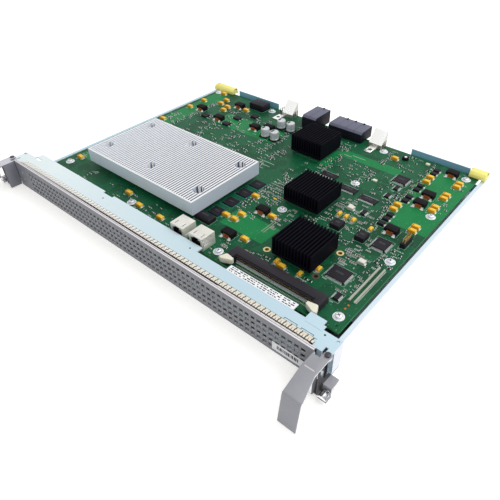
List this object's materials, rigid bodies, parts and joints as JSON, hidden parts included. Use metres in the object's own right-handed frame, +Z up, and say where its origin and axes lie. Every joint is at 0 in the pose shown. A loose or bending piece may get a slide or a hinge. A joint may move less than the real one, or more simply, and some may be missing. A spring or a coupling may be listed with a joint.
{
  "type": "router processor module",
  "caption": "Plug-in processor board on a sheet-metal tray, with a perforated faceplate, finned heatsinks, rear connectors and swinging ejector levers.",
  "frame": {"origin": "middle of the faceplate's bottom edge, on its front plane, level with the underside", "axes": "+X along the faceplate to the right-hand lever, +Y back towards the connectors, +Z up"},
  "size_m": [0.431, 0.3448, 0.0417],
  "materials": {
    "zinc_plated_sheet": "passivated zinc sheet, soft sheen",
    "front_paint": "grey powder coat over sheet steel",
    "lever_paint": "grey powder coat, smooth",
    "frame_plate": "bright tin-plated sheet",
    "light_window": "clear light guide",
    "spring_strip": "tinned copper alloy spring",
    "board_laminate": "green solder mask over laminate",
    "zinc_steel": "zinc-plated steel",
    "guide_plastic": "yellow moulded guide",
    "heatsink_aluminium": "machined aluminium",
    "black_anodised": "black anodised aluminium",
    "chip_plastic": "black moulding compound",
    "chip_carrier": "green laminate carrier",
    "jack_shield": "tinned shield",
    "socket_plastic": "charcoal moulded plastic",
    "latch_plastic": "ivory moulded plastic",
    "connector_plastic": "black moulded plastic",
    "cast_guide": "die-cast zinc",
    "can_aluminium": "sleeved can with plain top",
    "ferrite": "sintered ferrite",
    "copper_winding": "flat copper wire",
    "tantalum_yellow": "yellow moulded epoxy",
    "gold_pin": "gold plate",
    "ceramic_strip": "beige ceramic"
  },
  "bodies": {
    "chassis": {"carrier_tray": "zinc_plated_sheet", "faceplate": "front_paint", "indicator_lights": "light_window", "front_frame": "frame_plate", "frame_rivets": "frame_plate", "shielding_strip": "spring_strip", "circuit_board": "board_laminate", "board_standoffs": "zinc_steel", "board_screws": "zinc_steel", "corner_guide_left": "guide_plastic", "corner_guide_right": "guide_plastic", "main_heatsink": "heatsink_aluminium", "heatsink_screws": "zinc_steel", "processor_chips": "chip_plastic", "heatsink_rear": "black_anodised", "heatsink_middle": "black_anodised", "heatsink_front": "black_anodised", "cooled_chips": "chip_carrier", "network_jack_left": "jack_shield", "network_jack_right": "jack_shield", "memory_socket": "socket_plastic", "backplane_connector_small": "connector_plastic", "backplane_connector_large": "connector_plastic", "guide_socket_left": "cast_guide", "guide_socket_right": "cast_guide", "electrolytic_capacitors": "can_aluminium", "inductor_cores": "ferrite", "inductor_coils": "copper_winding", "tantalum_capacitors": "tantalum_yellow", "small_tantalums": "tantalum_yellow", "quad_chips": "chip_plastic", "tsop_chips": "chip_plastic", "outline_chips": "chip_plastic", "memory_chips": "chip_plastic", "power_modules": "chip_plastic", "pin_header": "connector_plastic", "header_pins": "gold_pin", "terminator_strips": "ceramic_strip", "crystal_can": "jack_shield", "oscillator_can": "jack_shield", "output_rectifiers": "chip_plastic", "relay_block": "connector_plastic", "power_transistors": "chip_plastic", "pivot_pins": "zinc_steel"},
    "lever_right": {"ejector_lever_right": "lever_paint"},
    "lever_left": {"ejector_lever_left": "lever_paint"},
    "collar_right": {"screw_collar_right": "zinc_steel"},
    "collar_left": {"screw_collar_left": "zinc_steel"},
    "screw_right": {"captive_screw_right": "zinc_steel"},
    "screw_left": {"captive_screw_left": "zinc_steel"},
    "latch_right": {"socket_latch_right": "latch_plastic"},
    "latch_left": {"socket_latch_left": "latch_plastic"}
  },
  "joints": [
    {"name": "lever_right_swing", "type": "hinge", "parent": "chassis", "child": "lever_right", "pos_m": [0.2035, 0.0028, 0.015], "axis": [0, 0, 1], "range_deg": [0, 55]},
    {"name": "collar_right_slide", "type": "slide", "parent": "lever_right", "child": "collar_right", "axis": [0, -1, 0], "range_m": [0, 0.004]},
    {"name": "screw_right_turn", "type": "hinge", "parent": "collar_right", "child": "screw_right", "pos_m": [0.2116, -0.009, 0.0049], "axis": [0, 1, 0], "continuous": true},
    {"name": "latch_right_swing", "type": "hinge", "parent": "chassis", "child": "latch_right", "pos_m": [0.1715, 0.0341, 0.0245], "axis": [0, 0, 1], "range_deg": [0, 32]},
    {"name": "lever_left_swing", "type": "hinge", "parent": "chassis", "child": "lever_left", "pos_m": [-0.2035, 0.0028, 0.015], "axis": [0, 0, -1], "range_deg": [0, 55]},
    {"name": "collar_left_slide", "type": "slide", "parent": "lever_left", "child": "collar_left", "axis": [0, -1, 0], "range_m": [0, 0.004]},
    {"name": "screw_left_turn", "type": "hinge", "parent": "collar_left", "child": "screw_left", "pos_m": [-0.2116, -0.009, 0.0049], "axis": [0, 1, 0], "continuous": true},
    {"name": "latch_left_swing", "type": "hinge", "parent": "chassis", "child": "latch_left", "pos_m": [0.0829, 0.0341, 0.0245], "axis": [0, 0, -1], "range_deg": [0, 32]}
  ]
}
